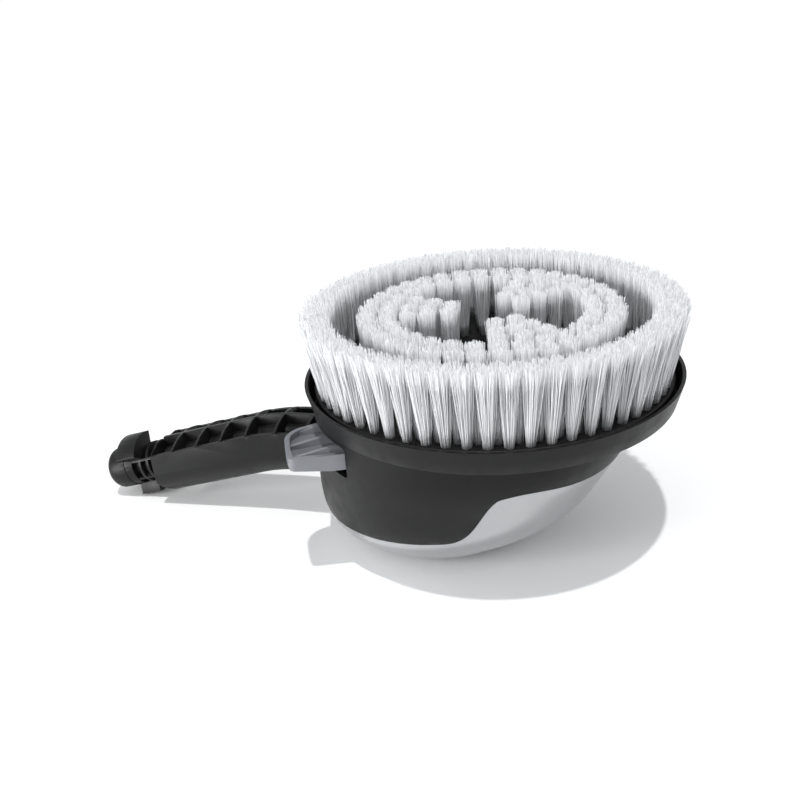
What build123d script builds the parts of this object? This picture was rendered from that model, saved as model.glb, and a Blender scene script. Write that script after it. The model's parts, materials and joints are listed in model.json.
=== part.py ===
"""Rotary wash brush for a pressure washer, lying on its back with the bristles up.

Frame: millimetres, +Z up. The brush spins about the Z axis, the floor is Z = 0 and the handle points to -X.
Every sub-part is written to parts/NODE.step.
"""

import os
from math import acos, atan2, cos, hypot, pi, radians, sin, sqrt, tan

from build123d import *

# ------------------------------------------------------------------ driving dimensions
# Housing: circular sections (height, centre along X, radius), from the resting face up to the skirt
HOUSING_SECTIONS = [
    (0.0, -27.0, 30.0),
    (3.0, -30.5, 43.5),
    (8.0, -32.0, 53.6),
    (18.0, -29.5, 65.4),
    (30.0, -23.4, 74.8),
    (44.0, -18.6, 79.8),
    (58.0, -14.2, 83.6),
    (72.0, -10.9, 86.2),
    (86.5, -8.0, 88.8),
]
HOUSING_WALL = 2.8
SKIRT_BOTTOM_Z = 85.5  # the skirt is the round band that the brush turns in
SKIRT_BOTTOM_R = 96.0
RIM_Z = 98.0
RIM_R = 99.5
SKIRT_WALL = 1.8
LEDGE_THICKNESS = 2.2
LEDGE_HOLE_R = 74.0
LEDGE_HOLE_X = -6.0

# Parting line between the black housing and the grey back cover, as (x, z) in side view
PARTING_REAR = [(-130.0, 23.0), (-67.0, 27.0), (-33.0, 30.4), (-11.0, 33.2)]
PARTING_FRONT = [(17.0, 62.6), (22.0, 64.2), (48.0, 62.8), (120.0, 58.0)]
COVER_SEAM = 0.25

# Clearances
RUNNING = 0.05  # shaft in a bush
SLIDING = 0.3  # splined parts that slide by hand
SEAT_GAP = 0.3  # faces that rest near each other on different bodies
PLATE_GAP = 0.8  # brush plate above the deck

# Gears: two equal stages of the same module
MODULE = 1.25
PINION_TEETH = 14
WHEEL_TEETH = 44
PRESSURE_ANGLE = 20.0
PROFILE_SHIFT = 0.3
BACKLASH = 0.16
GEAR_WIDTH = 7.0
CENTRE_DISTANCE = MODULE * (PINION_TEETH + WHEEL_TEETH) / 2

# Turbine
TURBINE_X = -36.0
TURBINE_R = 31.0
TURBINE_WIDTH = 17.0
TURBINE_BLADES = 12
TURBINE_SHAFT_R = 2.5
TURBINE_BUSH_R = 4.5
CHAMBER_GAP = 2.5  # free space round the wheel
CHAMBER_WALL = 2.5
CHAMBER_FLOOR_Z = 9.0

# Gearbox levels
BASE_Z = 34.5
PLATE_THICKNESS = 3.0
COVER_TOP_Z = 63.0
GEARBOX_WALL = 2.2
OUTPUT_SHAFT_R = 5.0
OUTPUT_BUSH_R = 6.4
OUTPUT_BOSS_R = 7.6
INTERMEDIATE_PIN_R = 3.0

# Deck and drive hub
DECK_THICKNESS = 1.8
DECK_HOLE_R = 24.0
COLUMN_R = 4.5
COLUMN_PITCH_R = 46.0
DECK_SCREW_ANGLES = (0, 60, 120, 240, 300, 165)
DECK_SCREW_R = 77.0
DRAINS = 9
HUB_CORE_R = 11.0
SPLINE_R = 13.0
SPLINE_WIDTH = 4.0
SPLINES = 6
HUB_BOTTOM_Z = 64.0
HUB_TOP_Z = 93.0
HUB_SCREW_R = 2.5
HUB_SCREW_HEAD_R = 5.0
SPLINE_BOTTOM_Z = 69.5

# Ejector and release lever
EJECTOR_R = 21.0
EJECTOR_BOTTOM_Z = 75.5
EJECTOR_THICKNESS = 4.0
LEVER_AZIMUTH = 213.0  # direction in which the paddle points, seen from above
LEVER_PIVOT_R = 50.0
LEVER_PIVOT_Z = 72.0
LEVER_PIN_R = 2.0
LEVER_BOTTOM_Z = 67.8
LEVER_TOP_Z = 76.6
LEVER_FORK_Y = 18.0  # prongs on both sides of the hub
LEVER_SLOT_DROP = 4.8  # free height under the paddle at the wall
LEVER_SLOT_Y = (-19.2, 26.4)
LEVER_RIDGES = ((-11.8, 105.0), (2.8, 112.0), (16.0, 113.0))  # (across, reach) of the finger ridges
SPRING_R = 3.6
SPRING_WIRE_R = 0.5
SPRING_TURNS = 4
SPRING_AT_R = 38.0

# Brush plate and tufts
PLATE_R = 94.4
BRUSH_PLATE_THICKNESS = 6.0
SOCKET_R = 20.0
TUFT_R = 2.2
TUFT_HOLE_DEPTH = 4.6
TUFT_HOLE_GAP = 0.2
# rows: (radius, count, first angle, tip height over the rim, outward lean at the tip, tip radius)
OUTER_ROWS = [(90.4, 60, 4.0, 38.6, 4.6, 3.9), (85.9, 60, 1.0, 38.2, 2.2, 3.9)]
INNER_ROWS = [(64.0, 36, 6.2, 34.4, 0.4, 4.9), (53.4, 30, 9.5, 34.2, 0.2, 4.9)]
BLADE_COUNT = 3
BLADE_FIRST_ANGLE = 63.5
BLADE_ROWS = [(43.0, (-17.0, 0.0, 17.0)), (32.4, (-16.5, 0.0, 16.5)), (21.4, (-14.5, 14.5))]
BLADE_TIP = 34.2
BLADE_TIP_R = 4.4

# Handle: the water channel's axis runs up from the inlet end, then level into the housing
CHANNEL_Z = 48.0
HANDLE_SLOPE = 15.7
HANDLE_END_X = -207.5  # where the channel's axis leaves the handle
HANDLE_FACE_X = -208.0  # the upright end face
HANDLE_CORNER = ((-209.0, 17.1), (-199.0, 5.9))  # cut across the lower corner, as (x, z)
HANDLE_BEND_R = 110.0
HANDLE_HALF_WIDTH = 19.0
HANDLE_SIDE_TOP = 10.0
HANDLE_CROWN = 14.5
HANDLE_BELLY_CENTRE = -2.0
HANDLE_BELLY_R = 18.4
HANDLE_WALL = 2.6
SPINE_THICKNESS = 2.2
RIB_THICKNESS = 1.6
RIB_PITCH = 17.4
RIBS = 6
HANDLE_OVERRUN = 7.0
END_WALL = 3.0
CHANNEL_R = 8.0
CHANNEL_BORE_R = 5.0
ROOT_R = 13.0
ROOT_INNER_X = -84.0

# Bayonet connector
BARREL_R = 13.0
BARREL_LENGTH = 20.8
BARREL_REAR_R = 12.6  # behind the lugs' faces
BARREL_ROUND = 5.5
NECK_LENGTH = 19.7
NECK_CORE_R = 9.0
NECK_RING_R = 12.4
NECK_RINGS = 3
NECK_RING_THICKNESS = 1.8
NECK_RING_PITCH = 5.9
NECK_FINS = (30, 150, 210, 330)
LUG_R = 19.6
LUG_LENGTH = 14.0
LUG_SPAN_DEG = 78.0
LUG_TURN = 73.0  # middle of the upper lug, from the -Y side
LUG_START = 15.0  # from the barrel's end face to the lug's face
SOCKET_BORE_R = 6.6
SOCKET_BORE_DEPTH = 18.0

# Water feed inside the housing
PIPE_R = 4.5
PIPE_BORE_R = 3.0
JET_SEAT_R = 5.2
JET_START_X = -69.0
JET_END_X = -62.5
JET_Y = -25.0
JET_Z = 22.0
PIPE_DROP_X = -76.0
PIPE_BEND_R = 7.0

# Fasteners
SCREW_R = 1.5
SCREW_HEAD_R = 3.0
SCREW_HEAD_H = 1.6

# ------------------------------------------------------------------ derived places
LEDGE_TOP_Z = SKIRT_BOTTOM_Z + LEDGE_THICKNESS
DECK_TOP_Z = LEDGE_TOP_Z + DECK_THICKNESS
BRUSH_BOTTOM_Z = DECK_TOP_Z + PLATE_GAP
BRUSH_TOP_Z = BRUSH_BOTTOM_Z + BRUSH_PLATE_THICKNESS
CHAMBER_R = TURBINE_R + CHAMBER_GAP + CHAMBER_WALL
BASE_TOP_Z = BASE_Z + PLATE_THICKNESS
COVER_UNDER_Z = COVER_TOP_Z - PLATE_THICKNESS
FIRST_GEAR_Z = BASE_TOP_Z + 1.2
SECOND_GEAR_Z = FIRST_GEAR_Z + GEAR_WIDTH + 2.0
INTERMEDIATE = Vector(
    TURBINE_X / 2, sqrt(CENTRE_DISTANCE**2 - (TURBINE_X / 2) ** 2), 0
)
TURBINE = Vector(TURBINE_X, 0, 0)
OUTPUT = Vector(0, 0, 0)
EJECTOR_TOP_Z = EJECTOR_BOTTOM_Z + EJECTOR_THICKNESS
SOCKET_BOTTOM_Z = EJECTOR_TOP_Z + SEAT_GAP
COLUMN_ANGLES = (LEVER_AZIMUTH - 180, LEVER_AZIMUTH - 90, LEVER_AZIMUTH + 90)
LUG_FACE = NECK_LENGTH + BARREL_LENGTH - LUG_START  # from the handle's end to the lugs' faces
OUT = "parts"


# ------------------------------------------------------------------ helpers
def cylinder(radius, z0, z1, at=OUTPUT):
    """A solid cylinder along Z from z0 to z1."""
    return Pos(at.X, at.Y, z0) * Cylinder(radius, z1 - z0, align=(Align.CENTER, Align.CENTER, Align.MIN))


def tube(r_out, r_in, z0, z1, at=OUTPUT):
    """A ring along Z from z0 to z1."""
    return cylinder(r_out, z0, z1, at) - cylinder(r_in, z0 - 1, z1 + 1, at)


def block(x0, x1, y0, y1, z0, z1):
    """A box between two corners."""
    return Pos((x0 + x1) / 2, (y0 + y1) / 2, (z0 + z1) / 2) * Box(x1 - x0, y1 - y0, z1 - z0)


def polar(radius, angle, z=0.0):
    """A point at a radius and an angle in degrees about the brush axis."""
    return Vector(radius * cos(radians(angle)), radius * sin(radians(angle)), z)


def solids_of(shape):
    """Every solid of a shape, as a list."""
    return list(shape.solids())


def write(node, shapes):
    """Writes one node's solids to parts/NODE.step."""
    group = shapes if isinstance(shapes, (list, tuple)) else [shapes]
    solids = [solid for shape in group for solid in solids_of(shape)]
    export_step(solids[0] if len(solids) == 1 else Compound(children=solids), f"{OUT}/{node}.step")


def screw(at, length):
    """A pan-head screw whose head's seat is at the point given, with its shank pointing down."""
    top = at.Z + SCREW_HEAD_H
    shank = cylinder(SCREW_R, at.Z - length, at.Z, at)
    head = cylinder(SCREW_HEAD_R, at.Z, top, at)
    slot = block(at.X - 0.4, at.X + 0.4, at.Y - 2.0, at.Y + 2.0, top - SCREW_HEAD_H / 2, top)
    cross = block(at.X - 2.0, at.X + 2.0, at.Y - 0.4, at.Y + 0.4, top - SCREW_HEAD_H / 2, top)
    return shank + head - slot - cross


# ------------------------------------------------------------------ gears
def involute_gear(teeth, shift, z0, width, at, tooth_towards=None, gap_towards=None):
    """A spur gear's blank with involute teeth, turned so that a tooth, or a gap, points in a direction."""
    pitch_r = MODULE * teeth / 2
    base_r = pitch_r * cos(radians(PRESSURE_ANGLE))
    tip_r = pitch_r + MODULE * (0.95 + shift)
    root_r = pitch_r - MODULE * (1.25 - shift)
    inv_pitch = tan(radians(PRESSURE_ANGLE)) - radians(PRESSURE_ANGLE)
    half_thickness = (pi * MODULE / 2 + 2 * shift * MODULE * tan(radians(PRESSURE_ANGLE)) - BACKLASH) / 2
    half_angle = half_thickness / pitch_r + inv_pitch

    def flank(radius):
        """Half the tooth's angle at a radius."""
        if radius <= base_r:
            return half_angle
        a = acos(base_r / radius)
        return half_angle - (tan(a) - a)

    start_r = max(base_r, root_r)
    radii = [start_r + (tip_r - start_r) * k / 4 for k in range(5)]
    turn = 0.0
    if tooth_towards is not None:
        turn = atan2(tooth_towards.Y - at.Y, tooth_towards.X - at.X)
    if gap_towards is not None:
        turn = atan2(gap_towards.Y - at.Y, gap_towards.X - at.X) + pi / teeth
    edges = []
    pitch = 2 * pi / teeth

    def point(radius, angle):
        return (at.X + radius * cos(angle), at.Y + radius * sin(angle))

    for k in range(teeth):
        middle = turn + k * pitch
        rise = [point(r, middle - flank(r)) for r in radii]
        fall = [point(r, middle + flank(r)) for r in reversed(radii)]
        following = middle + pitch
        if root_r < start_r:
            edges.append(Line(point(root_r, middle - half_angle), rise[0]))
        edges.append(Spline(*rise))
        edges.append(ThreePointArc(rise[-1], point(tip_r, middle), fall[0]))
        edges.append(Spline(*fall))
        low = fall[-1]
        if root_r < start_r:
            low = point(root_r, middle + half_angle)
            edges.append(Line(fall[-1], low))
        high_r = min(root_r, start_r)
        high = point(high_r, following - flank(start_r))
        edges.append(ThreePointArc(low, point(root_r, middle + pitch / 2), high))
    outline = make_face(edges)
    return Pos(0, 0, z0) * extrude(outline, width)


# ------------------------------------------------------------------ housing
def offset_sections(wall):
    """The housing's sections moved inwards by a wall, along the surface's normal."""
    moved = []
    count = len(HOUSING_SECTIONS)
    for k, (z, x, r) in enumerate(HOUSING_SECTIONS):
        lower = HOUSING_SECTIONS[max(k - 1, 0)]
        upper = HOUSING_SECTIONS[min(k + 1, count - 1)]
        slope = (upper[2] - lower[2]) / (upper[0] - lower[0])
        scale = hypot(1, slope)
        if k == 0:
            moved.append((z + wall, x, r - wall / 4))
        else:
            moved.append((z + wall * slope / scale, x, r - wall / scale))
    return moved


def lofted(sections):
    """A smooth solid through circular sections."""
    return loft([Pos(x, 0, z) * Circle(r) for z, x, r in sections])


def cover_region(grow=0.0):
    """Everything below the parting line, as a block across the housing."""
    rear = [(x, z + grow) for x, z in PARTING_REAR]
    front = [(x - grow, z + grow) for x, z in PARTING_FRONT]
    with BuildSketch(Plane.XZ) as side:
        with BuildLine():
            low = Spline(*rear, tangents=[(1, 0.05), (1, 0.12)], tangent_scalars=[1, 1])
            high = Spline(*front, tangents=[(1, 0.9), (1, -0.06)], tangent_scalars=[0.6, 1])
            rise = Spline(low @ 1, high @ 0, tangents=[low % 1, high % 0], tangent_scalars=[1.2, 0.95])
            Polyline(high @ 1, (front[-1][0], -20), (rear[0][0], -20), low @ 0)
        make_face()
    return extrude(side.sketch, 130, both=True)


def lever_place():
    """The lever's own frame: X points out along the paddle, Z is up."""
    return Rot(0, 0, LEVER_AZIMUTH)


def build_housing():
    """The black housing with its skirt, and the grey back cover below the parting line."""
    outer = lofted(HOUSING_SECTIONS)
    inner_sections = offset_sections(HOUSING_WALL)
    top = inner_sections[-1]
    inner = lofted(inner_sections) + cylinder(LEDGE_HOLE_R, top[0] - 4, RIM_Z, Vector(LEDGE_HOLE_X, 0, 0))
    shell = outer - inner
    with BuildSketch(Plane.XZ) as profile:
        Polygon(
            (LEDGE_HOLE_R - 12, SKIRT_BOTTOM_Z),
            (SKIRT_BOTTOM_R, SKIRT_BOTTOM_Z),
            (RIM_R, RIM_Z),
            (RIM_R - SKIRT_WALL, RIM_Z),
            (SKIRT_BOTTOM_R - SKIRT_WALL + 0.6, LEDGE_TOP_Z),
            (LEDGE_HOLE_R - 12, LEDGE_TOP_Z),
            align=None,
        )
    skirt = revolve(profile.sketch, Axis.Z)
    skirt -= cylinder(LEDGE_HOLE_R, SKIRT_BOTTOM_Z - 1, LEDGE_TOP_Z + 1, Vector(LEDGE_HOLE_X, 0, 0))
    cavity = cylinder(SKIRT_BOTTOM_R - SKIRT_WALL, LEDGE_TOP_Z, RIM_Z + 1)
    lower_cut = cover_region()
    cover = (outer - lofted(inner_sections)) & lower_cut
    body = (shell - cover_region(COVER_SEAM)) + skirt
    body -= cavity
    # openings: handle root and lever slot
    body -= Pos(-95, 0, CHANNEL_Z) * Rot(0, 90, 0) * Cylinder(ROOT_R + SLIDING, 30)
    slot = block(70, 120, *LEVER_SLOT_Y, LEVER_BOTTOM_Z - LEVER_SLOT_DROP, LEVER_TOP_Z + 3.4)
    slot = fillet(slot.edges().filter_by(Axis.X), 2.5)
    body -= lever_place() * slot
    # bosses that the deck and the cover screws bite into
    for angle in DECK_SCREW_ANGLES:
        spot = deck_screw_place(angle)
        body += cylinder(SCREW_HEAD_R + 0.6, SKIRT_BOTTOM_Z - 7, SKIRT_BOTTOM_Z + 0.5, spot) & outer
        body -= cylinder(SCREW_R, SKIRT_BOTTOM_Z - 6, LEDGE_TOP_Z + 1, spot)
    return max(solids_of(body), key=lambda s: s.volume), max(solids_of(cover), key=lambda s: s.volume), outer


def deck_screw_place(angle, z=0.0):
    """A deck screw's place, on a circle inside the housing's mouth."""
    return Vector(LEDGE_HOLE_X - 1.0, 0, 0) + polar(DECK_SCREW_R, angle, z)


def build_deck():
    """The round deck under the brush, with three columns to the gearbox and the lever's two pivot lugs."""
    deck = cylinder(SKIRT_BOTTOM_R - SKIRT_WALL - 1.0, LEDGE_TOP_Z, DECK_TOP_Z)
    for angle in COLUMN_ANGLES:
        deck += cylinder(COLUMN_R, COVER_TOP_Z, LEDGE_TOP_Z, polar(COLUMN_PITCH_R, angle))
    for side in (-1, 1):
        y0, y1 = sorted((side * 12.5, side * 16.5))
        lug = block(LEVER_PIVOT_R - 5, LEVER_PIVOT_R + 5, y0, y1, LEVER_PIVOT_Z - 5, LEDGE_TOP_Z)
        deck += lever_place() * lug
    deck -= cylinder(DECK_HOLE_R, LEDGE_TOP_Z - 1, DECK_TOP_Z + 1)
    deck -= lever_place() * Pos(LEVER_PIVOT_R, 0, LEVER_PIVOT_Z) * Rot(90, 0, 0) * Cylinder(LEVER_PIN_R, 40)
    for angle in DECK_SCREW_ANGLES:
        spot = deck_screw_place(angle)
        deck -= cylinder(SCREW_R, LEDGE_TOP_Z - 1, DECK_TOP_Z + 1, spot)
        deck -= cylinder(SCREW_HEAD_R, DECK_TOP_Z - 1.2, DECK_TOP_Z + 1, spot)
    for angle in COLUMN_ANGLES:
        spot = polar(COLUMN_PITCH_R, angle)
        deck -= cylinder(SCREW_R, COVER_TOP_Z - 1, DECK_TOP_Z + 1, spot)
        deck -= cylinder(SCREW_HEAD_R, DECK_TOP_Z - 1.2, DECK_TOP_Z + 1, spot)
    for k in range(DRAINS):
        deck -= cylinder(2.4, LEDGE_TOP_Z - 1, DECK_TOP_Z + 1, polar(34, 360 / DRAINS * k + 27))
    return deck


def gearbox_outline(turbine_r, extra=0.0):
    """The gearbox's outline: a hull round its three axes."""
    rounds = [(OUTPUT, 33.0), (INTERMEDIATE, 33.0), (TURBINE, turbine_r)]
    sketch = Sketch()
    for at, r in rounds:
        sketch += Pos(at.X, at.Y) * Circle(r + extra)
    return make_hull(sketch.edges())


def build_gearbox():
    """Base plate with its bush seats, and the cover that closes the gears in."""
    base = Pos(0, 0, BASE_Z) * extrude(gearbox_outline(CHAMBER_R + 2.0), PLATE_THICKNESS)
    base += cylinder(OUTPUT_BOSS_R, BASE_TOP_Z, SECOND_GEAR_Z - 1.0)
    base += cylinder(7.0, BASE_Z - 3.0, BASE_Z, TURBINE)
    base -= cylinder(OUTPUT_BUSH_R, BASE_Z + 1.5, SECOND_GEAR_Z)
    base -= cylinder(TURBINE_BUSH_R, BASE_Z - 4.0, BASE_TOP_Z + 1, TURBINE)
    base -= cylinder(INTERMEDIATE_PIN_R, BASE_Z + 1.0, BASE_TOP_Z + 1, INTERMEDIATE)
    outline = gearbox_outline(20.0)
    cover = Pos(0, 0, BASE_TOP_Z) * extrude(outline, COVER_TOP_Z - BASE_TOP_Z)
    cavity = extrude(gearbox_outline(20.0, -GEARBOX_WALL), COVER_UNDER_Z - BASE_TOP_Z + 1)
    cover -= Pos(0, 0, BASE_TOP_Z - 1) * cavity
    for angle in COLUMN_ANGLES:
        spot = polar(COLUMN_PITCH_R, angle)
        ear = cylinder(COLUMN_R, COVER_UNDER_Z, COVER_TOP_Z, spot)
        arm = Rot(0, 0, angle) * block(28, COLUMN_PITCH_R, -COLUMN_R, COLUMN_R, COVER_UNDER_Z, COVER_TOP_Z)
        cover += ear + arm
    stop_top = LEVER_BOTTOM_Z + 0.8 - SEAT_GAP
    cover += cylinder(4.0, COVER_TOP_Z, stop_top, polar(28, LEVER_AZIMUTH))
    cover -= cylinder(OUTPUT_BUSH_R, COVER_UNDER_Z - 1, COVER_TOP_Z + 1)
    cover -= cylinder(INTERMEDIATE_PIN_R, COVER_UNDER_Z - 1, COVER_TOP_Z - 1.0, INTERMEDIATE)
    for angle in COLUMN_ANGLES:
        cover -= cylinder(SCREW_R, COVER_UNDER_Z - 1, COVER_TOP_Z + 1, polar(COLUMN_PITCH_R, angle))
    return base, cover


def build_turbine_chamber():
    """The cup that the jet drives the turbine in, with its floor bearing and the jet's seat."""
    cup = cylinder(CHAMBER_R, CHAMBER_FLOOR_Z, BASE_Z, TURBINE)
    boss = Pos(TURBINE_X - 27, JET_Y, JET_Z) * Rot(0, 90, 0) * Cylinder(JET_SEAT_R + 2.0, 14)
    cup += boss
    cup -= cylinder(CHAMBER_R - CHAMBER_WALL, CHAMBER_FLOOR_Z + CHAMBER_WALL, BASE_Z + 1, TURBINE)
    cup += cylinder(7.0, CHAMBER_FLOOR_Z, CHAMBER_FLOOR_Z + 4.5, TURBINE)
    cup -= cylinder(TURBINE_BUSH_R, CHAMBER_FLOOR_Z + 1.2, CHAMBER_FLOOR_Z + 6, TURBINE)
    cup -= Pos(TURBINE_X - 27, JET_Y, JET_Z) * Rot(0, 90, 0) * Cylinder(JET_SEAT_R, 30)
    # outlet windows on the side away from the jet
    for angle in (20, 50, -20):
        window = block(CHAMBER_R - 6, CHAMBER_R + 3, -4.5, 4.5, 16, 28)
        cup -= Pos(TURBINE_X, 0, 0) * Rot(0, 0, angle) * window
    return max(solids_of(cup), key=lambda s: s.volume)


def build_jet():
    """The brass jet, pressed into the chamber's seat: a stepped nozzle with a fine bore."""
    along = Rot(0, 90, 0)
    middle = (JET_START_X + JET_END_X) / 2
    jet = Pos(middle, JET_Y, JET_Z) * along * Cylinder(JET_SEAT_R, JET_END_X - JET_START_X)
    jet -= Pos(JET_START_X, JET_Y, JET_Z) * along * Cylinder(PIPE_R + RUNNING, 8)
    jet -= Pos(middle, JET_Y, JET_Z) * along * Cylinder(1.1, 40)
    return jet


def build_turbine():
    """The paddle wheel, its steel shaft and the pinion on top."""
    z0 = CHAMBER_FLOOR_Z + 5.5
    z1 = z0 + TURBINE_WIDTH
    middle = (z0 + z1) / 2
    wheel = cylinder(7.0, z0, z1, TURBINE)
    wheel += cylinder(TURBINE_R - 7, middle - 1.0, middle + 1.0, TURBINE)
    for k in range(TURBINE_BLADES):
        with BuildSketch() as blade:
            with BuildLine():
                arc = ThreePointArc((6.0, 0), (19, 3.2), (TURBINE_R, -1.5))
                offset(arc, amount=0.8)
            make_face()
        paddle = Pos(0, 0, z0) * extrude(blade.sketch, TURBINE_WIDTH)
        wheel += Pos(TURBINE_X, 0, 0) * Rot(0, 0, 360 / TURBINE_BLADES * k) * paddle
    wheel -= cylinder(TURBINE_SHAFT_R, z0 - 1, z1 + 1, TURBINE)
    top = FIRST_GEAR_Z + GEAR_WIDTH + 1.0
    shaft = cylinder(TURBINE_SHAFT_R, CHAMBER_FLOOR_Z + 1.6, top, TURBINE)
    pinion = involute_gear(
        PINION_TEETH, PROFILE_SHIFT, FIRST_GEAR_Z, GEAR_WIDTH, TURBINE, tooth_towards=INTERMEDIATE
    )
    pinion -= cylinder(TURBINE_SHAFT_R, FIRST_GEAR_Z - 1, top, TURBINE)
    return wheel, shaft, pinion


def lightened(gear, at, z0, holes=6, ring_r=17.0, hole_r=4.5):
    """Cuts a ring of round holes into a gear's web."""
    for k in range(holes):
        spot = at + polar(ring_r, 360 / holes * k)
        gear -= cylinder(hole_r, z0 - 1, z0 + GEAR_WIDTH + 1, spot)
    return gear


def build_intermediate():
    """The double gear: a wheel driven by the turbine's pinion, and a pinion that drives the output wheel."""
    wheel = involute_gear(
        WHEEL_TEETH, -PROFILE_SHIFT, FIRST_GEAR_Z, GEAR_WIDTH, INTERMEDIATE, gap_towards=TURBINE
    )
    wheel = lightened(wheel, INTERMEDIATE, FIRST_GEAR_Z)
    collar = cylinder(8.0, FIRST_GEAR_Z, SECOND_GEAR_Z, INTERMEDIATE)
    pinion_z = SECOND_GEAR_Z - 0.2
    pinion = involute_gear(
        PINION_TEETH, PROFILE_SHIFT, pinion_z, GEAR_WIDTH + 1.2, INTERMEDIATE, tooth_towards=OUTPUT
    )
    gear = wheel + collar + pinion
    gear -= cylinder(INTERMEDIATE_PIN_R + RUNNING, FIRST_GEAR_Z - 1, COVER_UNDER_Z, INTERMEDIATE)
    pin = cylinder(INTERMEDIATE_PIN_R, BASE_Z + 1.0, COVER_TOP_Z - 1.0, INTERMEDIATE)
    return gear, pin


def spline_profile(core_r, spline_r, width):
    """A round core with straight splines."""
    sketch = Sketch() + Circle(core_r)
    for k in range(SPLINES):
        sketch += Rot(0, 0, 360 / SPLINES * k) * Pos(spline_r / 2, 0) * Rectangle(spline_r, width)
    return sketch & Circle(spline_r)


def splined_bore(z0, z1):
    """The space that a part sliding on the hub leaves free."""
    profile = spline_profile(HUB_CORE_R + SLIDING, SPLINE_R + SLIDING, SPLINE_WIDTH + 2 * SLIDING)
    return Pos(0, 0, z0) * extrude(profile, z1 - z0)


def build_output():
    """Output wheel, shaft, splined drive hub, its screw and its grip ring."""
    wheel = involute_gear(
        WHEEL_TEETH, -PROFILE_SHIFT, SECOND_GEAR_Z, GEAR_WIDTH, OUTPUT, gap_towards=INTERMEDIATE
    )
    wheel = lightened(wheel, OUTPUT, SECOND_GEAR_Z)
    wheel -= cylinder(OUTPUT_SHAFT_R, SECOND_GEAR_Z - 1, SECOND_GEAR_Z + GEAR_WIDTH + 1)
    shaft_top = HUB_TOP_Z - 12
    shaft = cylinder(OUTPUT_SHAFT_R, BASE_Z + 2.0, shaft_top)
    hub = cylinder(HUB_CORE_R, HUB_BOTTOM_Z, HUB_TOP_Z)
    spline_top = HUB_TOP_Z - 3.5
    splines = spline_profile(HUB_CORE_R, SPLINE_R, SPLINE_WIDTH)
    hub += Pos(0, 0, SPLINE_BOTTOM_Z) * extrude(splines, spline_top - SPLINE_BOTTOM_Z)
    hub = chamfer(hub.faces().sort_by(Axis.Z)[-1].edges(), 1.0)
    groove_z = HUB_TOP_Z - 2.4
    hub -= tube(HUB_CORE_R + 1, HUB_CORE_R - 1.2, groove_z - 0.7, groove_z + 0.7)
    hub -= cylinder(OUTPUT_SHAFT_R, HUB_BOTTOM_Z - 1, shaft_top)
    hub -= cylinder(HUB_SCREW_R, shaft_top - 1, HUB_TOP_Z + 1)
    hub -= cylinder(HUB_SCREW_HEAD_R, HUB_TOP_Z - 4, HUB_TOP_Z + 1)
    shaft -= cylinder(HUB_SCREW_R, shaft_top - 8, shaft_top + 1)
    screw_body = cylinder(HUB_SCREW_R, shaft_top - 8, HUB_TOP_Z - 4)
    screw_body += cylinder(HUB_SCREW_HEAD_R - 0.3, HUB_TOP_Z - 4, HUB_TOP_Z - 1.2)
    screw_body -= Pos(0, 0, HUB_TOP_Z - 2.8) * extrude(RegularPolygon(2.3, 6), 3)
    grip = Pos(0, 0, groove_z) * Torus(HUB_CORE_R - 0.55, 0.62)
    return wheel, shaft, hub, screw_body, grip


def build_ejector():
    """The ring round the hub that lifts the brush off it."""
    ring = cylinder(EJECTOR_R, EJECTOR_BOTTOM_Z, EJECTOR_TOP_Z)
    ring = chamfer(ring.edges(), 0.5)
    return ring - cylinder(SPLINE_R + SLIDING, EJECTOR_BOTTOM_Z - 1, EJECTOR_TOP_Z + 1)


def lever_outline():
    """The lever seen from above in its own frame: a wide paddle, a neck and the crossbar of the fork."""
    with BuildSketch() as paddle:
        with BuildLine():
            Polyline((84, 25.6), (84, -18.0), (93.1, -16.3), (101.4, -14.6))
            ThreePointArc((101.4, -14.6), (109.4, -11.0), (114.3, -0.3))
            ThreePointArc((114.3, -0.3), (115.5, 8.0), (115.8, 17.0))
            ThreePointArc((115.8, 17.0), (114.9, 19.6), (112.5, 20.6))
            Polyline((112.5, 20.6), (89, 24.8), (84, 25.6))
        make_face()
    return paddle.sketch


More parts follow.
